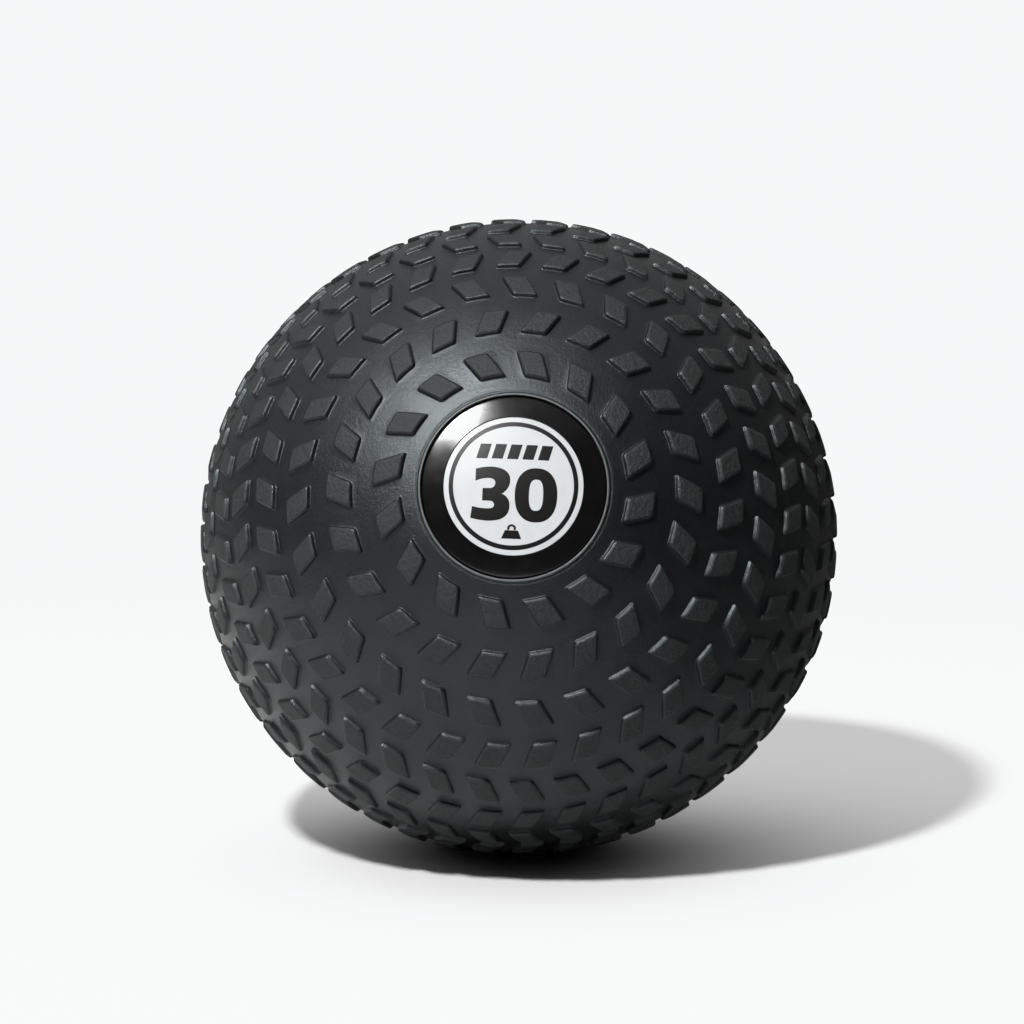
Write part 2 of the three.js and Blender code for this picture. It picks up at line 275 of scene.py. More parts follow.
def add_tread_row(skin, row, slant, low, high, heights):
    """One row of rounded lugs and the rubber around them. Returns its two edges as rings."""
    edge, lugs, first = row
    middle = first + 360.0 * np.arange(lugs) / lugs
    cell = 360.0 / lugs
    left = (middle - cell / 2)[:, None]
    across = left + (SIDE_STEPS + 1) / 2 * cell
    along = low + (SIDE_STEPS[1:] + 1) / 2 * (high - low)

    near = skin.add(SKIN_RADIUS, low, across)
    far = skin.add(SKIN_RADIUS, high, across)
    side = skin.add(SKIN_RADIUS, along, left)
    following = np.roll(np.arange(lugs), -1)
    right_near, right_side, right_far = near[following, :1], side[following], far[following, :1]
    loop = np.hstack([near, right_near, right_side, right_far, far[:, ::-1], side[:, ::-1]])

    steps = len(SIDE_STEPS)
    right = left + cell
    rising, falling = np.tile(along, (lugs, 1)), np.tile(along[::-1], (lugs, 1))
    cell_clock = np.hstack(
        [across, right, np.tile(right, (1, steps)), across[:, ::-1], np.tile(left, (1, steps - 1))]
    )
    cell_polar = np.hstack(
        [np.full((lugs, steps + 1), low), rising, np.full((lugs, steps + 1), high), falling]
    )

    half_length = LUG_LENGTH / 2
    half_width = LUG_WIDTH / 2
    places = loop_places()

    def lug_loop(inset):
        inset_angle = inset / MM_PER_DEGREE
        beyond = places[:, 1] * (half_length - inset_angle)
        polar = edge + half_length + beyond
        shift = slant / 2 * beyond / half_length + places[:, 0] * (half_width - inset_angle)
        clock = middle[:, None] + shift / np.sin(np.radians(polar))
        return np.broadcast_to(polar, clock.shape), clock

    foot_polar, foot_clock = lug_loop(LUG_SIDE[0][0])
    halfway = skin.add(
        SKIN_RADIUS, (cell_polar + foot_polar) / 2, (cell_clock + foot_clock) / 2
    )
    skin.strip(loop, halfway)
    loop = halfway
    for inset, height in LUG_SIDE + [(LUG_TOP_INSET, LUG_HEIGHT)]:
        polar, clock = lug_loop(inset)
        sphere = SKIN_RADIUS + height * heights[:, None]
        raised = skin.add(sphere, polar, clock, height / LUG_HEIGHT)
        skin.strip(loop, raised)
        loop = raised
    top = skin.add(SKIN_RADIUS + LUG_HEIGHT * heights, edge + half_length, middle, 1.0)
    skin.fan(loop, top)
    return (across.ravel(), near.ravel()), (across.ravel(), far.ravel())


def lip_profile():
    """The raised lip that frames each pole's round field: [distance from the axis, sphere radius]."""
    crest = SKIN_RADIUS + LIP_HEIGHT
    return [
        (FIELD_RADIUS + 0.02, SKIN_RADIUS - 0.9),
        (FIELD_RADIUS + 0.08, SKIN_RADIUS),
        (FIELD_RADIUS + 0.18, crest - 0.26),
        (FIELD_RADIUS + 0.32, crest - 0.07),
        (FIELD_RADIUS + 0.52, crest),
        (FIELD_RADIUS + 0.76, crest - 0.05),
        (FIELD_RADIUS + 0.96, crest - 0.22),
        (FIELD_RADIUS + 1.22, SKIN_RADIUS - 0.05),
        (FIELD_RADIUS + 1.50, SKIN_RADIUS - 0.22),
        (FIELD_RADIUS + 1.85, SKIN_RADIUS - 0.24),
        (FIELD_RADIUS + 2.20, SKIN_RADIUS - 0.10),
        (FIELD_RADIUS + 2.55, SKIN_RADIUS - 0.02),
        (FIELD_RADIUS + 3.00, SKIN_RADIUS),
    ]


def rim_profile(lap):
    """From the outer edge at the equator inwards: a rounded parting edge, then the lap joint."""
    edge = GAP / 2
    rounded = [
        (SKIN_RADIUS, edge + 0.45),
        (SKIN_RADIUS - 0.06, edge + 0.22),
        (SKIN_RADIUS - 0.22, edge + 0.06),
        (SKIN_RADIUS - 0.45, edge),
    ]
    return rounded + lap


def add_cup(pole_profile, lap_profile, seed):
    """A closed cup with a hole through its pole, opening towards -Z."""
    skin = RingSkin()
    random = np.random.default_rng(seed)
    strips = []

    def add_circle(point, rise=0.0):
        ring = skin.circle(point, CIRCLE_STEPS, rise)
        strips.append((ring, ring))

    for point in pole_profile:
        add_circle(point)
    for axis_distance, sphere in lip_profile():
        # The lip's crest is marked so that the rubber's colour paints a highlight on it.
        gets_painted_highlight = sphere > SKIN_RADIUS + LIP_CREST_FROM
        add_circle(on_dome(sphere, axis_distance), LIP_RISE if gets_painted_highlight else 0.0)
    low = TREAD_START
    for i, row in enumerate(TREAD_ROWS):
        end = row[0] + LUG_LENGTH
        after = TREAD_ROWS[i + 1][0] if i + 1 < len(TREAD_ROWS) else 90.0
        gap = after - end
        high = end + ROW_BORDER[0] * gap
        slant = LUG_SLANT if i % 2 else -LUG_SLANT
        heights = 1 + LUG_HEIGHT_SPREAD * random.uniform(-1, 1, row[1])
        strips.append(add_tread_row(skin, row, slant, low, high, heights))
        low = end + ROW_BORDER[1] * gap
    for point in rim_profile(lap_profile):
        add_circle(point)
    for i in range(1, CAVITY_RINGS):
        polar = math.radians(90 - CAVITY_ARC * i / CAVITY_RINGS)
        add_circle((CAVITY_RADIUS * math.sin(polar), CAVITY_RADIUS * math.cos(polar)))
    for i, strip in enumerate(strips):
        skin.zip(strip[1], strips[(i + 1) % len(strips)][0])
    return skin


def rubber_wave(points):
    """Slow moulding waves: how far each point moves outwards, fading towards the two poles."""
    unit = points / np.linalg.norm(points, axis=1, keepdims=True)
    wave = np.zeros(len(points))
    for direction, count, phase in (
        ((1.0, 0.3, 0.2), 11.0, 0.4),
        ((-0.4, 1.0, 0.5), 9.0, 2.1),
        ((0.2, -0.5, 1.0), 13.0, 4.4),
        ((0.7, 0.8, -0.9), 17.0, 1.3),
    ):
        wave += np.sin(count * (unit @ np.array(direction)) + phase)
    off_axis = np.hypot(unit[:, 0], unit[:, 1])
    fade = np.clip((off_axis - WAVE_START) / WAVE_FADE, 0, 1)
    return RUBBER_WAVE / 2 * wave * fade


def sagged(points):
    """The sand pulls the rubber's lower half down a little: each outer point slides along the ball."""
    from_centre = points - np.array(centre)
    sideways = np.hypot(from_centre[:, 0], from_centre[:, 1])
    from_top = np.arctan2(sideways, from_centre[:, 2])
    steps = (np.degrees(from_top) - SAG_MIDDLE) / SAG_SPREAD
    lowered = from_top + math.radians(SAG_ANGLE) * np.exp(-(steps**2)) * np.sin(from_top) ** 0.5
    distance = np.linalg.norm(from_centre, axis=1)
    scale = np.where(sideways > 0, distance * np.sin(lowered) / np.maximum(sideways, 1e-12), 0)
    moved = from_centre * scale[:, None]
    moved[:, 2] = distance * np.cos(lowered)
    inner = distance < (LAP_RADIUS + GAP) * MM
    moved[inner] = from_centre[inner]
    return moved + np.array(centre)


def pressed_flat(points):
    """The ball's weight presses the rubber on the floor, so nothing reaches below it."""
    height = points[:, 2] / MM
    height = (height + np.sqrt(height**2 + FLOOR_SOFTNESS**2)) / 2
    pressed = points.copy()
    near_floor = points[:, 2] / MM < FLOOR_REACH
    pressed[near_floor, 2] = height[near_floor] * MM
    return pressed


def build_cup(name, skin, node, rear):
    points = np.array(skin.points)
    faces = skin.faces
    points = points * (1 + rubber_wave(points) / SKIN_RADIUS)[:, None]
    if rear:
        points = points * np.array([1, 1, -1])
        faces = [face[::-1] for face in faces]
    row_points = pressed_flat(sagged(to_row(points)))
    piece = new_object(name, row_points, faces, "shell", [node])
    rise = piece.data.attributes.new("rise", "FLOAT", "POINT")
    rise.data.foreach_set("value", skin.rise)
    smooth(piece, 50)
    return piece


def build_front_cup():
    hole = PLUG_RADIUS + GAP
    counterbore = PLUG_HEAD_RADIUS + GAP
    shelf = dome_height(RECESS_FLOOR, counterbore) - PLUG_HEAD - 2 * GAP
    pole = [on_dome(CAVITY_RADIUS, hole), (hole, shelf), (counterbore, shelf)]
    pole += dome_arc(RECESS_FLOOR, counterbore, FIELD_RADIUS, 4)
    tongue = LAP_RADIUS - GAP / 2
    lap = [
        (tongue, GAP / 2),
        (tongue, -TONGUE_DEPTH),
        (CAVITY_RADIUS, -TONGUE_DEPTH),
        (CAVITY_RADIUS, 0.0),
    ]
    return build_cup("front_shell_skin", add_cup(pole, lap, 7), "front_shell", False)


def build_rear_cup():
    hole = VALVE_RADIUS + GAP
    counterbore = VALVE_HEAD_RADIUS + GAP
    shelf = dome_height(BADGE_FACE, counterbore) - VALVE_HEAD - GAP
    pole = [on_dome(CAVITY_RADIUS, hole), (hole, shelf), (counterbore, shelf)]
    pole += [on_dome(BADGE_FACE - 0.15, counterbore), on_dome(BADGE_FACE, counterbore + 0.2)]
    pole += dome_arc(BADGE_FACE, counterbore + 2, FIELD_RADIUS - 1.2, 8)
    pole += [on_dome(BADGE_FACE - 0.25, FIELD_RADIUS - 0.3), on_dome(BADGE_FACE - 0.3, FIELD_RADIUS)]
    groove = LAP_RADIUS + GAP / 2
    groove_floor = TONGUE_DEPTH + GAP
    lap = [
        (groove, GAP / 2),
        (groove, groove_floor),
        (dome_height(CAVITY_RADIUS, groove_floor), groove_floor),
    ]
    return build_cup("rear_shell_skin", add_cup(pole, lap, 11), "rear_shell", True)


# ---- Turned pieces ----
def build_turned(name, profile, body, node, rear=False, sharp=35):
    """A solid of revolution about the badge's axis. Its profile runs up from the axis and back."""
    ends = (profile[0], profile[-1])
    clock = 2 * math.pi * np.arange(FINE_STEPS) / FINE_STEPS
    points = [(0.0, 0.0, ends[0][1])]
    for axis_distance, height in profile[1:-1]:
        ring = np.stack(
            [axis_distance * np.cos(clock), axis_distance * np.sin(clock), np.full(FINE_STEPS, height)],
            axis=1,
        )
        points.extend(ring.tolist())
    points.append((0.0, 0.0, ends[1][1]))
    faces = []
    rings = len(profile) - 2
    last = len(points) - 1
    for i in range(FINE_STEPS):
        j = (i + 1) % FINE_STEPS
        faces.append([0, 1 + j, 1 + i])
        for ring in range(rings - 1):
            low, high = 1 + ring * FINE_STEPS, 1 + (ring + 1) * FINE_STEPS
            faces.append([low + i, low + j, high + j, high + i])
        top = 1 + (rings - 1) * FINE_STEPS
        faces.append([top + i, top + j, last])
    points = np.array(points)
    if rear:
        points = points * np.array([1, -1, -1])
    piece = new_object(name, to_row(points), faces, body, [node])
    smooth(piece, sharp)
    return piece


def build_badge_disc():
    pocket = LABEL_RADIUS + GAP
    pocket_floor = BADGE_FACE - LABEL_THICKNESS - GAP
    profile = dome_arc(BADGE_BACK, 0, BADGE_RADIUS - 0.2, 8)
    profile += [on_dome(BADGE_BACK + 0.2, BADGE_RADIUS)]
    profile += [on_dome(BADGE_FACE - 0.55, BADGE_RADIUS)]
    profile += [on_dome(BADGE_FACE - 0.28, BADGE_RADIUS - 0.08)]
    profile += [on_dome(BADGE_FACE - 0.10, BADGE_RADIUS - 0.25)]
    profile += [on_dome(BADGE_FACE - 0.02, BADGE_RADIUS - 0.55)]
    profile += dome_arc(BADGE_FACE, BADGE_RADIUS - 0.9, pocket + 0.15, 6)
    profile += [on_dome(BADGE_FACE - 0.12, pocket)]
    profile += dome_arc(pocket_floor, pocket, 0, 5)
    return build_turned("badge_disc_fine", profile, "shell", "badge_disc")


def build_badge_label():
    profile = dome_arc(BADGE_FACE - LABEL_THICKNESS, 0, LABEL_RADIUS, 6)
    profile += [on_dome(BADGE_FACE - 0.10, LABEL_RADIUS)]
    profile += [on_dome(BADGE_FACE - 0.02, LABEL_RADIUS - 0.08)]
    profile += dome_arc(BADGE_FACE, LABEL_RADIUS - 0.25, 0, 12)
    return build_turned("badge_label_fine", profile, "shell", "badge_label")


def build_badge_pad():
    profile = dome_arc(PAD_BACK, 0, PAD_RADIUS, 6)
    profile += [(PAD_RADIUS + 0.12, dome_height((PAD_BACK + PAD_FACE) / 2, PAD_RADIUS))]
    profile += dome_arc(PAD_FACE, PAD_RADIUS, 0, 6)
    return build_turned("badge_pad_foam", profile, "shell", "badge_pad")


def build_fill_plug():
    head_top = dome_height(RECESS_FLOOR, PLUG_HEAD_RADIUS + GAP) - GAP
    head_bottom = head_top - PLUG_HEAD
    profile = [(0, CAVITY_RADIUS)]
    profile += [(PLUG_RADIUS - 0.8, CAVITY_RADIUS), (PLUG_RADIUS - 0.2, CAVITY_RADIUS + 0.3)]
    profile += [(PLUG_RADIUS, CAVITY_RADIUS + 0.9), (PLUG_RADIUS, head_bottom)]
    profile += [(PLUG_HEAD_RADIUS - 0.2, head_bottom), (PLUG_HEAD_RADIUS, head_bottom + 0.2)]
    profile += [(PLUG_HEAD_RADIUS, head_top - 0.4), (PLUG_HEAD_RADIUS - 0.15, head_top - 0.12)]
    profile += [(PLUG_HEAD_RADIUS - 0.5, head_top), (4.0, head_top), (3.4, head_top - 0.3)]
    profile += [(0, head_top - 0.3)]
    return build_turned("fill_plug_fine", profile, "shell", "fill_plug")


def build_valve():
    head_top = dome_height(BADGE_FACE, VALVE_HEAD_RADIUS + GAP)
    head_bottom = head_top - VALVE_HEAD
    profile = [(0, CAVITY_RADIUS), (VALVE_RADIUS - 0.5, CAVITY_RADIUS)]
    profile += [(VALVE_RADIUS, CAVITY_RADIUS + 0.5), (VALVE_RADIUS, head_bottom)]
    profile += [(VALVE_HEAD_RADIUS, head_bottom), (VALVE_HEAD_RADIUS, head_top - 0.25)]
    profile += [(VALVE_HEAD_RADIUS - 0.08, head_top - 0.08), (VALVE_HEAD_RADIUS - 0.3, head_top)]
    profile += [(5.6, head_top + 0.14), (5.4, head_top - 0.05), (5.0, head_top - 0.05)]
    profile += [(4.8, head_top + 0.17), (2 * NEEDLE_RADIUS + 0.2, head_top + GAP)]
    profile += [(2 * NEEDLE_RADIUS - 0.2, head_top + 0.1), (NEEDLE_RADIUS + 0.15, head_top - 0.6)]
    profile += [(NEEDLE_RADIUS, head_top - 1.2), (NEEDLE_RADIUS, head_top - NEEDLE_DEPTH)]
    profile += [(0, head_top - NEEDLE_DEPTH)]
    return build_turned("valve_body_fine", profile, "shell", "valve_body", rear=True)


def build_sand():
    """Loose sand: a bowl that fits the cavity, and a top that has settled a little unevenly."""
    columns = 120
    bowl_rows = 30
    top_rows = 26
    edge_radius = dome_height(SAND_RADIUS, SAND_LEVEL)
    clock = 2 * math.pi * np.arange(columns) / columns
    points = [(0.0, 0.0, -SAND_RADIUS)]
    top_angle = math.asin(SAND_LEVEL / SAND_RADIUS)
    for i in range(1, bowl_rows + 1):
        latitude = -math.pi / 2 + (top_angle + math.pi / 2) * i / bowl_rows
        radius = SAND_RADIUS * math.cos(latitude)
        level = SAND_RADIUS * math.sin(latitude)
        points += [(radius * math.cos(c), radius * math.sin(c), level) for c in clock]

    def heap(x, y):
        """The top's level: flat at the rim, with ripples up to 3 mm deep inside it."""
        rim = 1 - (math.hypot(x, y) / edge_radius) ** 4
        ripple = math.sin(0.055 * x + 1) * math.cos(0.048 * y) + 0.5 * math.sin(0.11 * (x + y))
        return SAND_LEVEL - 1.2 * rim * (1 + ripple)

    for i in range(1, top_rows):
        radius = edge_radius * (1 - i / top_rows)
        ring = [(radius * math.cos(c), radius * math.sin(c)) for c in clock]
        points += [(x, y, heap(x, y)) for x, y in ring]
    points.append((0.0, 0.0, heap(0, 0)))
    faces = []
    rings = bowl_rows + top_rows - 1
    last = len(points) - 1
    for i in range(columns):
        j = (i + 1) % columns
        faces.append([0, 1 + j, 1 + i])
        for ring in range(rings - 1):
            low, high = 1 + ring * columns, 1 + (ring + 1) * columns
            faces.append([low + i, low + j, high + j, high + i])
        top = 1 + (rings - 1) * columns
        faces.append([top + i, top + j, last])
    row_points = np.array(points) * MM + np.array(centre)
    piece = new_object("sand_heap", row_points, faces, "sand", ["sand_fill"])
    smooth(piece, 40)
    return piece


# ---- The print on the label, as flat outlines that follow the dome ----
PRINT_LIFT = 0.05  # the ink's top, above the label's face
PRINT_SUNK = 0.06  # the ink's underside, below it
RING_RADII = (23.9, 25.7)
NUMERAL_LEVEL = -3.7  # the numerals' middle, above the label's
ZERO_PLACE = 9.1  # to the right of the label's middle
THREE_PLACE = -8.9


def smooth_line(points, steps):
    """A Catmull-Rom curve through the points, with the same number of steps along each stretch."""
    p = [np.array(q, float) for q in points]
    p = [2 * p[0] - p[1]] + p + [2 * p[-1] - p[-2]]
    line = []
    for i in range(1, len(p) - 2):
        for s in range(steps):
            t = s / steps
            a = 2 * p[i]
            b = (p[i + 1] - p[i - 1]) * t
            c = (2 * p[i - 1] - 5 * p[i] + 4 * p[i + 1] - p[i + 2]) * t**2
            d = (3 * p[i] - p[i - 1] - 3 * p[i + 1] + p[i + 2]) * t**3
            line.append((a + b + c + d) / 2)
    line.append(p[-2])
    return np.array(line)


def oval(width, height, power, steps):
    """A closed rounded outline between an ellipse (power 2) and a rectangle."""
    t = 2 * math.pi * np.arange(steps) / steps
    x = np.sign(np.cos(t)) * np.abs(np.cos(t)) ** (2 / power) * width / 2
    y = np.sign(np.sin(t)) * np.abs(np.sin(t)) ** (2 / power) * height / 2
    return np.stack([x, y], axis=1)


class Print:
    """Flat four-sided patches of ink, in millimetres on the label, welded where they meet."""

    def __init__(self):
        self.mesh = bmesh.new()

    def band(self, outer, inner, across, place=(0, 0), closed=False):
        """Patches between two lines that have the same number of points."""
        rows = []
        for i in range(across + 1):
            line = outer + (inner - outer) * i / across + np.array(place)
            rows.append([self.mesh.verts.new((x, y, 0)) for x, y in line])
        count = len(outer)
        for row, following in zip(rows, rows[1:]):
            for i in range(count if closed else count - 1):
                j = (i + 1) % count
                self.mesh.faces.new((row[i], row[j], following[j], following[i]))

    def to_piece(self, name):
        """Lifts the patches onto the dome as one thin closed layer."""
        bmesh.ops.remove_doubles(self.mesh, verts=self.mesh.verts, dist=0.001)
        bmesh.ops.recalc_face_normals(self.mesh, faces=self.mesh.faces)
        flat = np.array([v.co[:] for v in self.mesh.verts])
        self.mesh.verts.index_update()
        count = len(flat)

        def lifted(sphere):
            height = np.sqrt(sphere**2 - (flat[:, :2] ** 2).sum(axis=1))
            return np.column_stack([flat[:, :2], height])

        points = np.vstack([lifted(BADGE_FACE + PRINT_LIFT), lifted(BADGE_FACE - PRINT_SUNK)])
        faces = []
        for face in self.mesh.faces:
            corners = [v.index for v in face.verts]
            if face.normal.z < 0:
                corners.reverse()
            faces.append(corners)
            faces.append([i + count for i in reversed(corners)])
        uses = {}
        for corners in faces[::2]:
            for a, b in zip(corners, corners[1:] + corners[:1]):
                uses[(a, b)] = True
        for a, b in uses:
            if (b, a) not in uses:
                faces.append([b, a, a + count, b + count])
        self.mesh.free()
        piece = new_object(name, to_row(points), faces, "shell")
        smooth(piece, 30)
        return piece


def draw_three(ink):
    place = (THREE_PLACE, NUMERAL_LEVEL)
    top_outside = [(-6.2, 9.8), (-3.2, 10.5), (0.6, 10.77), (4.6, 9.9), (7.0, 7.9), (7.6, 5.2)]
    top_outside += [(6.9, 2.5), (4.5, 0.0), (0.6, -0.4), (-3.2, -0.4)]
    top_inside = [(-6.2, 4.9), (-3.8, 5.8), (-1.2, 6.15), (0.5, 5.95), (1.5, 5.2), (1.75, 4.15)]
    top_inside += [(1.4, 3.0), (0.4, 2.25), (-1.2, 2.1), (-3.2, 2.1)]
    low_outside = [(-3.2, -0.4), (0.6, -0.4), (4.5, 0.0), (7.0, -1.9), (7.7, -4.8), (7.0, -7.8)]
    low_outside += [(4.6, -9.9), (0.4, -10.8), (-3.6, -10.6), (-7.6, -9.9)]
    low_inside = [(-3.2, -2.9), (-1.2, -2.9), (0.4, -3.0), (1.3, -3.6), (1.6, -4.5), (1.3, -5.3)]
    low_inside += [(0.4, -5.8), (-1.4, -5.95), (-4.2, -5.75), (-7.1, -5.2)]
    steps = 4
    ink.band(smooth_line(top_outside, steps), smooth_line(top_inside, steps), 4, place)
    upper_middle = smooth_line(top_outside, steps)
    lower_middle = smooth_line(low_outside, steps)
    shared = 2 * steps + 1
    lower_middle[:shared] = upper_middle[-shared:][::-1]
    ink.band(lower_middle, smooth_line(low_inside, steps), 4, place)


def draw_zero(ink):
    place = (ZERO_PLACE, NUMERAL_LEVEL)
    ink.band(oval(16.8, 21.6, 2.3, 72), oval(5.6, 12.4, 2.7, 72), 4, place, closed=True)


def draw_ring(ink):
    inner, outer = (oval(2 * radius, 2 * radius, 2, 144) for radius in RING_RADII)
    ink.band(outer, inner, 2, closed=True)


def draw_bars(ink):
    """A plain row of slanted bars above the number."""
    bars = 5
    width, height, slant, pitch, level = 4.4, 6.0, 1.6, 6.1, 13.4
    for i in range(bars):
        place = ((i - (bars - 1) / 2) * pitch, level)
        across = np.linspace(-width / 2, width / 2, 5)
        top = np.stack([across + slant / 2, np.full(5, height / 2)], axis=1)
        bottom = np.stack([across - slant / 2, np.full(5, -height / 2)], axis=1)
        ink.band(top, bottom, 4, place)


def draw_weight_sign(ink):
    """A plain sign of a weight below the number: a tapered block with a ring on top."""
    level = -18.9
    top = np.stack([np.linspace(-2.6, 2.6, 7), np.full(7, 0.9)], axis=1)
    bottom = np.stack([np.linspace(-4.0, 4.0, 7), np.full(7, -2.4)], axis=1)
    ink.band(top, bottom, 3, (0, level))
    arc = np.linspace(math.radians(-35), math.radians(215), 17)
    outside = np.stack([1.75 * np.cos(arc), 1.55 * np.sin(arc) + 1.75], axis=1)
    inside = np.stack([0.85 * np.cos(arc), 0.7 * np.sin(arc) + 1.75], axis=1)
    ink.band(outside, inside, 1, (0, level))


def build_print():
    ink = Print()
    draw_ring(ink)
    draw_three(ink)
    draw_zero(ink)
    draw_bars(ink)
    draw_weight_sign(ink)
    return ink.to_piece("badge_print")


# ---- Materials ----
class Surface:
    """A Principled material and short calls that add nodes to it."""

    def __init__(self, name):
        self.material = bpy.data.materials.new(name)
        self.material.use_nodes = True
        self.nodes = self.material.node_tree.nodes
        self.links = self.material.node_tree.links
        self.bsdf = self.nodes["Principled BSDF"]
        self.place = self.node("ShaderNodeTexCoord").outputs["Object"]

    def node(self, kind, **settings):
        made = self.nodes.new(kind)
        for key, value in settings.items():
            setattr(made, key, value)
        return made

    def link(self, source, target):
        self.links.new(source, target)

    def noise(self, feature_mm, detail=4.0, roughness=0.6, stretch=(1, 1, 1)):
        """A noise value whose features are about so many millimetres across."""
        mapping = self.node("ShaderNodeMapping")
        mapping.inputs["Scale"].default_value = stretch
        self.link(self.place, mapping.inputs["Vector"])
        texture = self.node("ShaderNodeTexNoise")
        texture.inputs["Scale"].default_value = 1 / (feature_mm * MM)
        texture.inputs["Detail"].default_value = detail
        texture.inputs["Roughness"].default_value = roughness
        self.link(mapping.outputs["Vector"], texture.inputs["Vector"])
        return texture.outputs["Fac"]

    def cells(self, feature_mm):
        texture = self.node("ShaderNodeTexVoronoi")
        texture.inputs["Scale"].default_value = 1 / (feature_mm * MM)
        self.link(self.place, texture.inputs["Vector"])
        return texture

    def attribute(self, name):
        return self.node("ShaderNodeAttribute", attribute_name=name).outputs["Fac"]

    def remap(self, value, low, high, to_low, to_high):
        made = self.node("ShaderNodeMapRange")
        for socket, number in zip(made.inputs[1:5], (low, high, to_low, to_high)):
            socket.default_value = number
        self.link(value, made.inputs["Value"])
        return made.outputs["Result"]

    def math(self, operation, a, b):
        made = self.node("ShaderNodeMath", operation=operation)
        for socket, value in zip(made.inputs, (a, b)):
            if isinstance(value, (int, float)):
                socket.default_value = value
            else:
                self.link(value, socket)
        return made.outputs["Value"]

    def mix(self, factor, a, b):
        """A colour between two colours, each a value or a socket."""
        made = self.node("ShaderNodeMix", data_type="RGBA")
        self.link(factor, made.inputs["Factor"])
        colour_inputs = [s for s in made.inputs if s.type == "RGBA"]
        for socket, value in zip(colour_inputs, (a, b)):
            if isinstance(value, tuple):
                socket.default_value = (*value, 1)
            else:
                self.link(value, socket)
        return next(s for s in made.outputs if s.type == "RGBA")

    def bump(self, height, depth_mm, strength=1.0, after=None):
        made = self.node("ShaderNodeBump")
        made.inputs["Distance"].default_value = depth_mm * MM
        made.inputs["Strength"].default_value = strength
        self.link(height, made.inputs["Height"])
        if after is not None:
            self.link(after, made.inputs["Normal"])
        return made.outputs["Normal"]

    def finish(self, colour=None, roughness=None, normal=None):
        for name, source in (("Base Color", colour), ("Roughness", roughness), ("Normal", normal)):
            if source is not None:
                self.link(source, self.bsdf.inputs[name])
        return self.material


def rubber_material():
    """Moulded rubber: satin between the lugs, and dull and slightly greyer on their tops."""
    s = Surface("tread_rubber_fine")
    s.bsdf.inputs["IOR"].default_value = 1.5
    s.bsdf.inputs["Specular Tint"].default_value = (0.87, 0.97, 1.0, 1)
    s.bsdf.inputs["Sheen Weight"].default_value = 0.025
    s.bsdf.inputs["Sheen Roughness"].default_value = 0.4
    s.bsdf.inputs["Sheen Tint"].default_value = (1.0, 0.93, 0.85, 1)
    rise = s.attribute("rise")
    top = s.remap(rise, 0.93, 1.0, 0.0, 1.0)
    mottle = s.noise(11, 3)
    cloud = s.noise(38, 2)
    grain = s.noise(0.55, 3, 0.7)
    coarse = s.noise(1.6, 3, 0.6)
    speck = s.noise(0.9, 1, 0.5)

    plain = s.mix(s.remap(mottle, 0.3, 0.7, 0, 1), (0.0034, 0.0039, 0.0045), (0.0048, 0.0054, 0.0060))
    dull = s.mix(s.remap(coarse, 0.3, 0.7, 0, 1), (0.0030, 0.0033, 0.0032), (0.0140, 0.0146, 0.0140))
    colour = s.mix(top, plain, dull)
    # Lighter lug rims: partly real wear, partly a painted highlight along the rounded top edges.
    rim_wear_and_painted_highlight = s.math("MULTIPLY", s.remap(rise, 0.80, 0.92, 0, 1), s.remap(rise, 0.94, 1.0, 1, 0))
    colour = s.mix(s.math("MULTIPLY", rim_wear_and_painted_highlight, 0.35), colour, (0.020, 0.021, 0.021))
    # Painted highlight: the lip's crest is coloured light grey where it catches the light.
    crest = s.remap(rise, LIP_RISE, 0.6 * LIP_RISE, 1, 0)
    colour = s.mix(s.math("MULTIPLY", crest, 0.8), colour, (0.150, 0.158, 0.158))
    dust = s.remap(speck, 0.77, 0.82, 0, 0.8)
    colour = s.mix(dust, colour, (0.06, 0.06, 0.057))

    satin = s.math("ADD", s.remap(cloud, 0.3, 0.7, 0.37, 0.44), s.remap(coarse, 0.3, 0.7, -0.02, 0.02))
    matte = s.remap(coarse, 0.3, 0.7, 0.60, 0.70)
    spread = s.node("ShaderNodeMix", data_type="FLOAT")
    s.link(top, spread.inputs[0])
    s.link(satin, spread.inputs[2])
    s.link(matte, spread.inputs[3])
    roughness = spread.outputs[0]

    uneven = s.math("MULTIPLY", coarse, s.remap(top, 0, 1, 0.45, 1.9))
    soft = s.bump(uneven, 0.30, 1.0)
    depth = s.math("MULTIPLY", grain, s.remap(top, 0, 1, 0.85, 2.2))
    normal = s.bump(depth, 0.16, 1.0, soft)
    return s.finish(colour, roughness, normal)


def gloss_material():
    """Glossy black moulding with faint polishing marks."""
    s = Surface("badge_gloss_black")
    s.bsdf.inputs["IOR"].default_value = 1.5
    haze = s.noise(7, 4)
    fine = s.noise(0.4, 2)
    colour = s.mix(s.remap(haze, 0.3, 0.7, 0, 1), (0.0035, 0.0035, 0.0032), (0.005, 0.005, 0.005))
    roughness = s.remap(haze, 0.3, 0.7, 0.15, 0.21)
    return s.finish(colour, roughness, s.bump(fine, 0.004, 0.4))


def label_material():
    """Printed white label, less glossy than the disc around it."""
    s = Surface("badge_label_white")
    s.bsdf.inputs["IOR"].default_value = 1.45
    mottle = s.noise(3.5, 4)
    fibre = s.noise(0.5, 3)
    colour = s.mix(s.remap(mottle, 0.3, 0.7, 0, 1), (0.605, 0.624, 0.635), (0.635, 0.654, 0.665))
    roughness = s.remap(mottle, 0.3, 0.7, 0.30, 0.40)
    return s.finish(colour, roughness, s.bump(fibre, 0.008, 0.5))


def ink_material():
    """Screen-printed black ink with a slight grain."""
    s = Surface("badge_print_black")
    s.bsdf.inputs["IOR"].default_value = 1.33
    grain = s.noise(0.6, 3)
    colour = s.mix(s.remap(grain, 0.3, 0.7, 0, 1), (0.0035, 0.0037, 0.0033), (0.0075, 0.0078, 0.0070))
    roughness = s.remap(grain, 0.3, 0.7, 0.34, 0.46)
    return s.finish(colour, roughness, s.bump(grain, 0.008, 0.6))


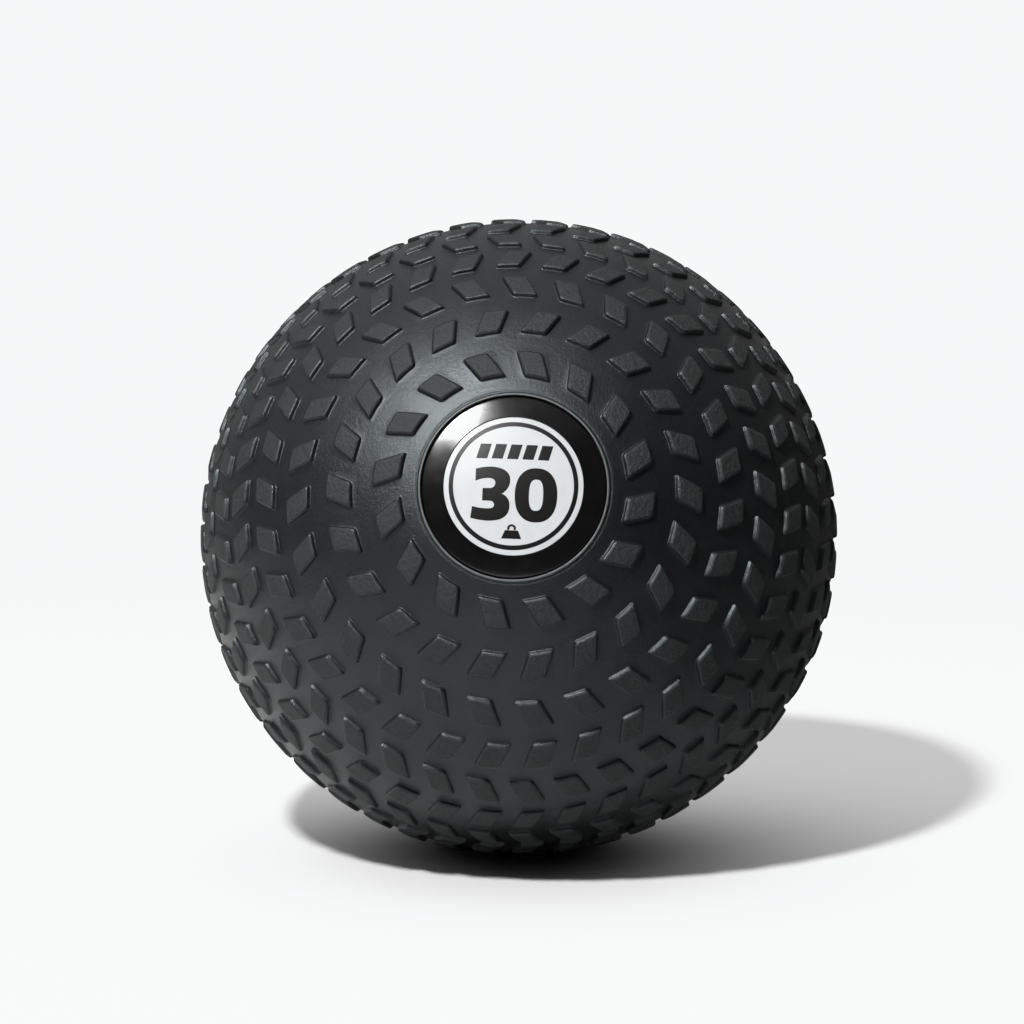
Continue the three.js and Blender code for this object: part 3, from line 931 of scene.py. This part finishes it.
def foam_material():
    """Open foam tape: grey, with the pits of its cells painted darker as shade."""
    s = Surface("foam_tape_fine")
    cells = s.cells(0.45)
    distance = cells.outputs["Distance"]
    colour = s.mix(s.remap(distance, 0.1, 0.6, 0, 1), (0.03, 0.03, 0.03), (0.11, 0.11, 0.105))
    roughness = s.remap(distance, 0, 0.6, 0.95, 0.8)
    return s.finish(colour, roughness, s.bump(distance, 0.12, 0.9))


def butyl_material():
    """Soft butyl rubber, smoother than the tread, with a faint bloom."""
    s = Surface("butyl_fine")
    bloom = s.noise(4, 4)
    grain = s.noise(0.35, 3)
    colour = s.mix(s.remap(bloom, 0.35, 0.7, 0, 1), (0.022, 0.023, 0.025), (0.034, 0.035, 0.037))
    roughness = s.remap(bloom, 0.3, 0.7, 0.42, 0.55)
    return s.finish(colour, roughness, s.bump(grain, 0.02, 0.6))


def sand_material():
    """Dry quartz sand: grains of about half a millimetre in several tans."""
    s = Surface("sand_grains")
    cells = s.cells(0.6)
    patch = s.noise(14, 3)
    hue = s.node("ShaderNodeSeparateColor")
    s.link(cells.outputs["Color"], hue.inputs["Color"])
    grains = s.mix(hue.outputs[0], (0.30, 0.21, 0.11), (0.66, 0.55, 0.38))
    dark = s.remap(hue.outputs[1], 0.86, 0.9, 0, 0.7)
    colour = s.mix(dark, grains, (0.10, 0.075, 0.05))
    colour = s.mix(s.remap(patch, 0.35, 0.7, 0, 0.4), colour, (0.52, 0.42, 0.28))
    roughness = s.remap(hue.outputs[2], 0, 1, 0.75, 0.95)
    return s.finish(colour, roughness, s.bump(cells.outputs["Distance"], 0.3, 0.9))


# ---- Stage, light and camera ----
CAMERA_DISTANCE = 9 * BALL_RADIUS * MM
CAMERA_HEIGHT_ANGLE = 6.0
CAMERA_SIDE_ANGLE = 0.92
CAMERA_LENS = 100.15
AIM_RIGHT = -3.0 * MM
AIM_UP = 11.1 * MM

KEY_DISTANCE = 9 * BALL_RADIUS * MM
KEY_HEIGHT_ANGLE = 46.3
KEY_SIDE_ANGLE = 24.2
KEY_RADIUS = 0.058
KEY_STRENGTH = 37.0
SOFTBOX_SIZE = 0.28
SOFTBOX_POWER = 28.0
SOFTBOX_HEIGHT_ANGLE = 45.5
SOFTBOX_SIDE_ANGLE = 28.5
BACKDROP_WHITE = 1.0
FLOOR_WHITE = 0.95
FLOOR_IN_GLOSS = (0.82, 0.10)  # the same as glossy surfaces see it, on the left and on the right
FLOOR_GLOSS_FADE = (0.0, 0.22)  # from where to where that changes over, in metres along X
LIT_FLOOR_RADIUS = 0.9
FLOOR_RADIUS = 30.0
FLOOR_FADE = (0.45, 1.8)  # from where to where the floor turns into the backdrop, in metres
OVERHEAD = 1.22  # the soft light that fills the shadows
OVERHEAD_FROM = (-0.05, 0.50, 0.86)  # it comes from above, and more from the back
OVERHEAD_LIMITS = (0.25, 1.0)  # where it starts and where it is brightest, along that direction
WALLS_FROM = (-0.45, 0.4, 1.3)  # where the studio is white: on the left, behind and above
WALLS_LIMITS = (0.30, 1.45)  # where they start and where they are brightest, along that direction
WALLS_DARK = 0.01
WALLS_WHITE = 0.58
FILM_RANGE = 4.0  # the light that turns pure white in the picture
FILM_SHOULDER = ((0.40, 0.40), (0.80, 0.795), (1.0, 0.94), (1.6, 0.955))  # light and its brightness
FILM_RED = ((0.70, 0.70), (0.94, 0.921))  # the reds level off sooner, so the whites are a little cold
FILM_RED_END = (1.0, 0.95)


def direction(height_angle, side_angle):
    """A direction by its angle above the floor, and to the left of the way the badge faces."""
    up, side = math.radians(height_angle), math.radians(side_angle)
    return Vector((-math.sin(side) * math.cos(up), -math.cos(side) * math.cos(up), math.sin(up)))


def look_at(obj, target):
    obj.rotation_euler = (target - obj.location).to_track_quat("-Z", "Y").to_euler()


def make_camera():
    camera = bpy.data.objects.new("camera", bpy.data.cameras.new("camera"))
    bpy.context.scene.collection.objects.link(camera)
    camera.location = centre + CAMERA_DISTANCE * direction(CAMERA_HEIGHT_ANGLE, -CAMERA_SIDE_ANGLE)
    forward = (centre - camera.location).normalized()
    right = forward.cross(Vector((0, 0, 1))).normalized()
    up = right.cross(forward)
    look_at(camera, centre + AIM_RIGHT * right + AIM_UP * up)
    camera.data.sensor_width = 36
    camera.data.lens = CAMERA_LENS
    bpy.context.scene.camera = camera


def make_key():
    """The small bright source that casts the shadow. Its light doesn't fade with distance."""
    light = bpy.data.lights.new("key", "POINT")
    light.shadow_soft_size = KEY_RADIUS
    light.energy = 1
    light.use_nodes = True
    nodes = light.node_tree.nodes
    falloff = nodes.new("ShaderNodeLightFalloff")
    falloff.inputs["Strength"].default_value = KEY_STRENGTH
    light.node_tree.links.new(falloff.outputs["Constant"], nodes["Emission"].inputs["Strength"])
    key = bpy.data.objects.new("key", light)
    key.location = centre + KEY_DISTANCE * direction(KEY_HEIGHT_ANGLE, KEY_SIDE_ANGLE)
    key.visible_glossy = False
    bpy.context.scene.collection.objects.link(key)


def make_softbox():
    """The same lamp as glossy surfaces see it: the square cloth of a softbox."""
    light = bpy.data.lights.new("softbox", "AREA")
    light.shape = "SQUARE"
    light.size = SOFTBOX_SIZE
    light.energy = SOFTBOX_POWER
    softbox = bpy.data.objects.new("softbox", light)
    way = direction(SOFTBOX_HEIGHT_ANGLE, SOFTBOX_SIDE_ANGLE)
    softbox.location = centre + KEY_DISTANCE * way
    look_at(softbox, centre)
    softbox.visible_diffuse = False
    softbox.visible_camera = False
    bpy.context.scene.collection.objects.link(softbox)


def make_world():
    """Soft light from above, and a studio whose white walls only glossy surfaces see."""
    world = bpy.data.worlds.new("studio")
    bpy.context.scene.world = world
    world.use_nodes = True
    nodes = world.node_tree.nodes
    links = world.node_tree.links
    background = nodes["Background"]
    background.inputs["Color"].default_value = (1, 1, 1, 1)
    way = nodes.new("ShaderNodeTexCoord").outputs["Generated"]

    def along(axis, low, high, darkest, brightest):
        """Brightness by direction: how far it points along an axis, between two limits."""
        dot = nodes.new("ShaderNodeVectorMath")
        dot.operation = "DOT_PRODUCT"
        dot.inputs[1].default_value = axis
        links.new(way, dot.inputs[0])
        ramp = nodes.new("ShaderNodeMapRange")
        for socket, number in zip(ramp.inputs[1:5], (low, high, darkest, brightest)):
            socket.default_value = number
        links.new(dot.outputs["Value"], ramp.inputs["Value"])
        return ramp.outputs["Result"]

    path = nodes.new("ShaderNodeLightPath")
    for_camera = nodes.new("ShaderNodeMix")
    for_gloss = nodes.new("ShaderNodeMix")
    for_camera.inputs["B"].default_value = BACKDROP_WHITE
    links.new(along(OVERHEAD_FROM, *OVERHEAD_LIMITS, 0, OVERHEAD), for_gloss.inputs["A"])
    links.new(along(WALLS_FROM, *WALLS_LIMITS, WALLS_DARK, WALLS_WHITE), for_gloss.inputs["B"])
    links.new(path.outputs["Is Glossy Ray"], for_gloss.inputs["Factor"])
    links.new(for_gloss.outputs["Result"], for_camera.inputs["A"])
    links.new(path.outputs["Is Camera Ray"], for_camera.inputs["Factor"])
    links.new(for_camera.outputs["Result"], background.inputs["Strength"])


def circle_points(radius, steps):
    turns = [2 * math.pi * i / steps for i in range(steps)]
    return [(radius * math.cos(t), radius * math.sin(t), 0) for t in turns]


def make_floor():
    """A pale floor that turns into the white backdrop a few ball widths away."""
    s = Surface("studio_floor")
    across = s.node("ShaderNodeSeparateXYZ")
    s.link(s.place, across.inputs[0])
    mirrored = s.remap(across.outputs["X"], *FLOOR_GLOSS_FADE, *FLOOR_IN_GLOSS)
    for_gloss = s.node("ShaderNodeMix", data_type="FLOAT")
    for_gloss.inputs[2].default_value = FLOOR_WHITE
    s.link(s.node("ShaderNodeLightPath").outputs["Is Glossy Ray"], for_gloss.inputs[0])
    s.link(mirrored, for_gloss.inputs[3])
    s.link(for_gloss.outputs[0], s.bsdf.inputs["Base Color"])
    s.bsdf.inputs["Roughness"].default_value = 1
    s.bsdf.inputs["Specular IOR Level"].default_value = 0
    distance = s.node("ShaderNodeVectorMath", operation="LENGTH")
    s.link(s.place, distance.inputs[0])
    glow = s.node("ShaderNodeEmission")
    glow.inputs["Strength"].default_value = BACKDROP_WHITE
    blend = s.node("ShaderNodeMixShader")
    ramp = s.remap(distance.outputs["Value"], *FLOOR_FADE, 0, 1)
    ramp.node.interpolation_type = "SMOOTHSTEP"
    s.link(ramp, blend.inputs["Fac"])
    s.link(s.bsdf.outputs["BSDF"], blend.inputs[1])
    s.link(glow.outputs["Emission"], blend.inputs[2])
    s.link(blend.outputs["Shader"], s.nodes["Material Output"].inputs["Surface"])

    steps = 96
    near = circle_points(LIT_FLOOR_RADIUS, steps)
    far = circle_points(FLOOR_RADIUS, steps)
    floor = new_object("studio_floor", near, [list(range(steps))], None)
    ring_faces = [[i, i + steps, (i + 1) % steps + steps, (i + 1) % steps] for i in range(steps)]
    backdrop = new_object("studio_backdrop", near + far, ring_faces, None)
    backdrop.visible_glossy = False
    for stage in (floor, backdrop):
        stage.data.materials.append(s.material)


def set_film():
    """Plain colours, with whites that level off just below pure white, as a camera's do."""
    view = bpy.context.scene.view_settings
    view.view_transform = "Standard"
    view.use_curve_mapping = True
    view.curve_mapping.clip_max_x = FILM_RANGE
    red, _, _, every_colour = view.curve_mapping.curves
    for curve, middle, end in (
        (every_colour, FILM_SHOULDER, (FILM_RANGE, 1.0)),
        (red, FILM_RED, FILM_RED_END),
    ):
        curve.points[1].location = end
        for light, brightness in middle:
            curve.points.new(light, brightness)
        for point in curve.points:
            point.handle_type = "AUTO_CLAMPED"
    view.curve_mapping.update()


def dress(piece, material):
    piece.data.materials.clear()
    piece.data.materials.append(material)


rubber = rubber_material()
butyl = butyl_material()
dress(build_front_cup(), rubber)
dress(build_rear_cup(), rubber)
dress(build_badge_disc(), gloss_material())
dress(build_badge_label(), label_material())
dress(build_print(), ink_material())
dress(build_badge_pad(), foam_material())
dress(build_fill_plug(), butyl)
dress(build_valve(), butyl)
dress(build_sand(), sand_material())

make_floor()
make_world()
make_key()
make_softbox()
make_camera()
set_film()
